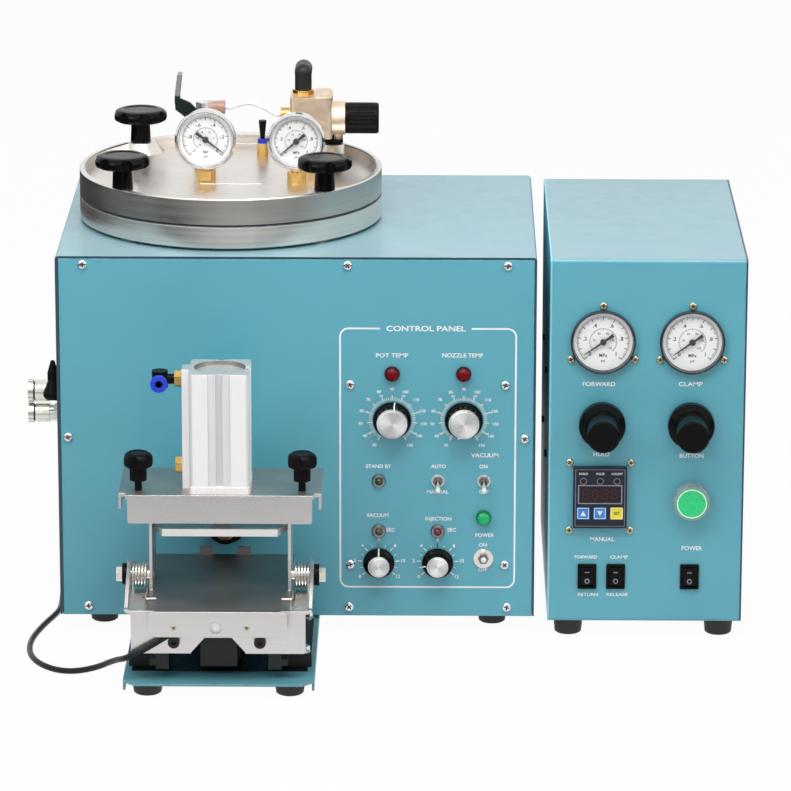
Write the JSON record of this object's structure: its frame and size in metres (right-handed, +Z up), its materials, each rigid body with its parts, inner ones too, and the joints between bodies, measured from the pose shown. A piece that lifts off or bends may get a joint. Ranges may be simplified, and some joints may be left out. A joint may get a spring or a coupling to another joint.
{
  "type": "vacuum wax injector",
  "caption": "Vacuum wax injector with a heated pot under a bolted round lid, a pneumatic mould clamp with a sprung tilting table, and a separate air control box",
  "frame": {"origin": "on the floor under the middle of the whole set's bounding box", "axes": "+X to the right seen from the front, +Y to the back, +Z up"},
  "size_m": [0.603, 0.4724, 0.4504],
  "materials": {
    "teal_paint": "semi-gloss powder coat",
    "black_rubber": "moulded",
    "bright_steel": "plated",
    "cast_aluminium": "turned and satin",
    "band_steel": "heat-stained sheet",
    "brass": "machined",
    "copper_brass": "turned",
    "green_board": "solder mask",
    "black_plastic": "moulded",
    "gloss_black": "polished",
    "needle_black": "painted",
    "die_cast": "die-cast, lacquered",
    "green_lever": "dipped sleeve",
    "white_tube": "extruded",
    "black_metal": "black oxide",
    "steel_sheet": "polished stainless",
    "spring_steel": "drawn wire",
    "anodised": "clear anodised",
    "black_cord": "smooth sheath",
    "gauge_black": "gloss",
    "green_button": "translucent"
  },
  "bodies": {
    "machine": {"cabinet_cover": "teal_paint", "front_panel": "teal_paint", "chassis": "teal_paint", "rubber_feet": "black_rubber", "panel_screws": "bright_steel", "wax_pot": "cast_aluminium", "heater_band": "band_steel", "nozzle_block": "brass", "control_gear": "green_board", "side_fittings": "bright_steel", "panel_fittings": "bright_steel", "clamp_base": "teal_paint", "slide_unit": "black_metal", "box_shell": "teal_paint", "box_sides": "teal_paint", "box_gauges": "gauge_black", "box_regulators": "die_cast", "box_modules": "black_plastic", "sensor_cord": "black_cord"},
    "lid": {"lid": "cast_aluminium", "lid_gauges": "bright_steel", "lid_regulator": "die_cast", "lid_fittings": "brass", "lid_tube": "white_tube"},
    "carriage": {"carriage": "steel_sheet", "carriage_slides": "black_metal", "pivot_bolts": "bright_steel", "torsion_springs": "spring_steel", "table_lamp": "black_plastic"},
    "mould_frame": {"mould_table": "steel_sheet", "head_plate": "steel_sheet", "air_cylinder": "anodised", "cylinder_fittings": "black_plastic"},
    "press": {"press_plate": "steel_sheet"},
    "lid_knob_1": {"lid_knob_1": "gloss_black"},
    "lid_knob_2": {"lid_knob_2": "gloss_black"},
    "lid_knob_3": {"lid_knob_3": "gloss_black"},
    "lid_knob_4": {"lid_knob_4": "gloss_black"},
    "vacuum_needle": {"vacuum_needle": "needle_black"},
    "pressure_needle": {"pressure_needle": "needle_black"},
    "lid_regulator_knob": {"lid_regulator_knob": "black_plastic"},
    "ball_valve_lever": {"ball_valve_lever": "green_lever"},
    "pot_temp_knob": {"pot_temp_knob": "black_plastic"},
    "nozzle_temp_knob": {"nozzle_temp_knob": "black_plastic"},
    "vacuum_time_knob": {"vacuum_time_knob": "black_plastic"},
    "inject_time_knob": {"inject_time_knob": "black_plastic"},
    "mode_toggle": {"mode_toggle": "bright_steel"},
    "vacuum_toggle": {"vacuum_toggle": "bright_steel"},
    "power_toggle": {"power_toggle": "bright_steel"},
    "forward_needle": {"forward_needle": "needle_black"},
    "clamp_needle": {"clamp_needle": "needle_black"},
    "forward_reg_knob": {"forward_reg_knob": "gloss_black"},
    "clamp_reg_knob": {"clamp_reg_knob": "gloss_black"},
    "start_button": {"start_button": "green_button"},
    "forward_rocker": {"forward_rocker": "black_plastic"},
    "clamp_rocker": {"clamp_rocker": "black_plastic"},
    "power_rocker": {"power_rocker": "black_plastic"},
    "left_head_knob": {"left_head_knob": "gloss_black"},
    "right_head_knob": {"right_head_knob": "gloss_black"},
    "nozzle_tip": {"nozzle_tip": "copper_brass"}
  },
  "joints": [
    {"name": "lid_lift", "type": "slide", "parent": "machine", "child": "lid", "axis": [0, 0, 1], "range_m": [0, 0.12]},
    {"name": "lid_knob_1_turn", "type": "hinge", "parent": "lid", "child": "lid_knob_1", "pos_m": [-0.04856, 0.17073, 0.3715], "axis": [0, 0, 1], "continuous": true},
    {"name": "lid_knob_2_turn", "type": "hinge", "parent": "lid", "child": "lid_knob_2", "pos_m": [-0.2163, 0.17366, 0.3715], "axis": [0, 0, 1], "continuous": true},
    {"name": "lid_knob_3_turn", "type": "hinge", "parent": "lid", "child": "lid_knob_3", "pos_m": [-0.22097, -0.00472, 0.3715], "axis": [0, 0, 1], "continuous": true},
    {"name": "lid_knob_4_turn", "type": "hinge", "parent": "lid", "child": "lid_knob_4", "pos_m": [-0.0517, -0.00916, 0.3715], "axis": [0, 0, 1], "continuous": true},
    {"name": "vacuum_needle_turn", "type": "hinge", "parent": "lid", "child": "vacuum_needle", "pos_m": [-0.154, 0.04825, 0.4], "axis": [0, 1, 0], "range_deg": [-260, 0], "stiffness_Nm_per_rad": 0.002},
    {"name": "pressure_needle_turn", "type": "hinge", "parent": "lid", "child": "pressure_needle", "pos_m": [-0.077, 0.04225, 0.4], "axis": [0, 1, 0], "range_deg": [0, 260], "stiffness_Nm_per_rad": 0.002},
    {"name": "lid_regulator_turn", "type": "hinge", "parent": "lid", "child": "lid_regulator_knob", "pos_m": [-0.037, 0.12625, 0.403], "axis": [1, 0, 0], "continuous": true},
    {"name": "ball_valve_turn", "type": "hinge", "parent": "lid", "child": "ball_valve_lever", "pos_m": [-0.1585, 0.12625, 0.398], "axis": [0, 1, 0], "range_deg": [-90, 0]},
    {"name": "pot_temp_turn", "type": "hinge", "parent": "machine", "child": "pot_temp_knob", "pos_m": [0.0055, -0.06375, 0.187], "axis": [0, 1, 0], "range_deg": [-158, 142]},
    {"name": "nozzle_temp_turn", "type": "hinge", "parent": "machine", "child": "nozzle_temp_knob", "pos_m": [0.0655, -0.06375, 0.187], "axis": [0, 1, 0], "range_deg": [0, 300]},
    {"name": "vacuum_time_turn", "type": "hinge", "parent": "machine", "child": "vacuum_time_knob", "pos_m": [-0.0055, -0.06375, 0.062], "axis": [0, 1, 0], "range_deg": [-150, 150]},
    {"name": "inject_time_turn", "type": "hinge", "parent": "machine", "child": "inject_time_knob", "pos_m": [0.044, -0.06375, 0.062], "axis": [0, 1, 0], "range_deg": [-50, 250]},
    {"name": "mode_toggle_throw", "type": "hinge", "parent": "machine", "child": "mode_toggle", "pos_m": [0.044, -0.06525, 0.134], "axis": [1, 0, 0], "range_deg": [-28, 0]},
    {"name": "vacuum_toggle_throw", "type": "hinge", "parent": "machine", "child": "vacuum_toggle", "pos_m": [0.0825, -0.06525, 0.134], "axis": [1, 0, 0], "range_deg": [-28, 0]},
    {"name": "power_toggle_throw", "type": "hinge", "parent": "machine", "child": "power_toggle", "pos_m": [0.0825, -0.06525, 0.066], "axis": [1, 0, 0], "range_deg": [0, 28]},
    {"name": "forward_needle_turn", "type": "hinge", "parent": "machine", "child": "forward_needle", "pos_m": [0.1805, -0.08225, 0.259], "axis": [0, 1, 0], "range_deg": [0, 260], "stiffness_Nm_per_rad": 0.002},
    {"name": "clamp_needle_turn", "type": "hinge", "parent": "machine", "child": "clamp_needle", "pos_m": [0.2545, -0.08225, 0.259], "axis": [0, 1, 0], "range_deg": [0, 260], "stiffness_Nm_per_rad": 0.002},
    {"name": "forward_reg_turn", "type": "hinge", "parent": "machine", "child": "forward_reg_knob", "pos_m": [0.1805, -0.07675, 0.188], "axis": [0, 1, 0], "continuous": true},
    {"name": "clamp_reg_turn", "type": "hinge", "parent": "machine", "child": "clamp_reg_knob", "pos_m": [0.2545, -0.07675, 0.188], "axis": [0, 1, 0], "continuous": true},
    {"name": "start_button_press", "type": "slide", "parent": "machine", "child": "start_button", "axis": [0, 1, 0], "range_m": [0, 0.004], "stiffness_N_per_m": 400},
    {"name": "forward_rocker_rock", "type": "hinge", "parent": "machine", "child": "forward_rocker", "pos_m": [0.1695, -0.07575, 0.055], "axis": [1, 0, 0], "range_deg": [0, 16]},
    {"name": "clamp_rocker_rock", "type": "hinge", "parent": "machine", "child": "clamp_rocker", "pos_m": [0.1935, -0.07575, 0.055], "axis": [1, 0, 0], "range_deg": [0, 16]},
    {"name": "power_rocker_rock", "type": "hinge", "parent": "machine", "child": "power_rocker", "pos_m": [0.2555, -0.07575, 0.055], "axis": [1, 0, 0], "range_deg": [0, 16]},
    {"name": "carriage_slide", "type": "slide", "parent": "machine", "child": "carriage", "axis": [0, 1, 0], "range_m": [0, 0.012], "deforming": ["sensor_cord"]},
    {"name": "table_tilt", "type": "hinge", "parent": "carriage", "child": "mould_frame", "pos_m": [-0.134, -0.16375, 0.083], "axis": [1, 0, 0], "range_deg": [-8, 0], "stiffness_Nm_per_rad": 1, "springref_deg": 28.65, "deforming": ["torsion_springs"]},
    {"name": "press_slide", "type": "slide", "parent": "mould_frame", "child": "press", "axis": [0, 0, -1], "range_m": [0, 0.04]},
    {"name": "left_head_knob_turn", "type": "hinge", "parent": "mould_frame", "child": "left_head_knob", "pos_m": [-0.201, -0.16575, 0.156], "axis": [0, 0, 1], "continuous": true},
    {"name": "right_head_knob_turn", "type": "hinge", "parent": "mould_frame", "child": "right_head_knob", "pos_m": [-0.067, -0.16575, 0.156], "axis": [0, 0, 1], "continuous": true},
    {"name": "nozzle_tip_press", "type": "slide", "parent": "machine", "child": "nozzle_tip", "axis": [0, 1, 0], "range_m": [0, 0.004], "stiffness_N_per_m": 2000}
  ]
}
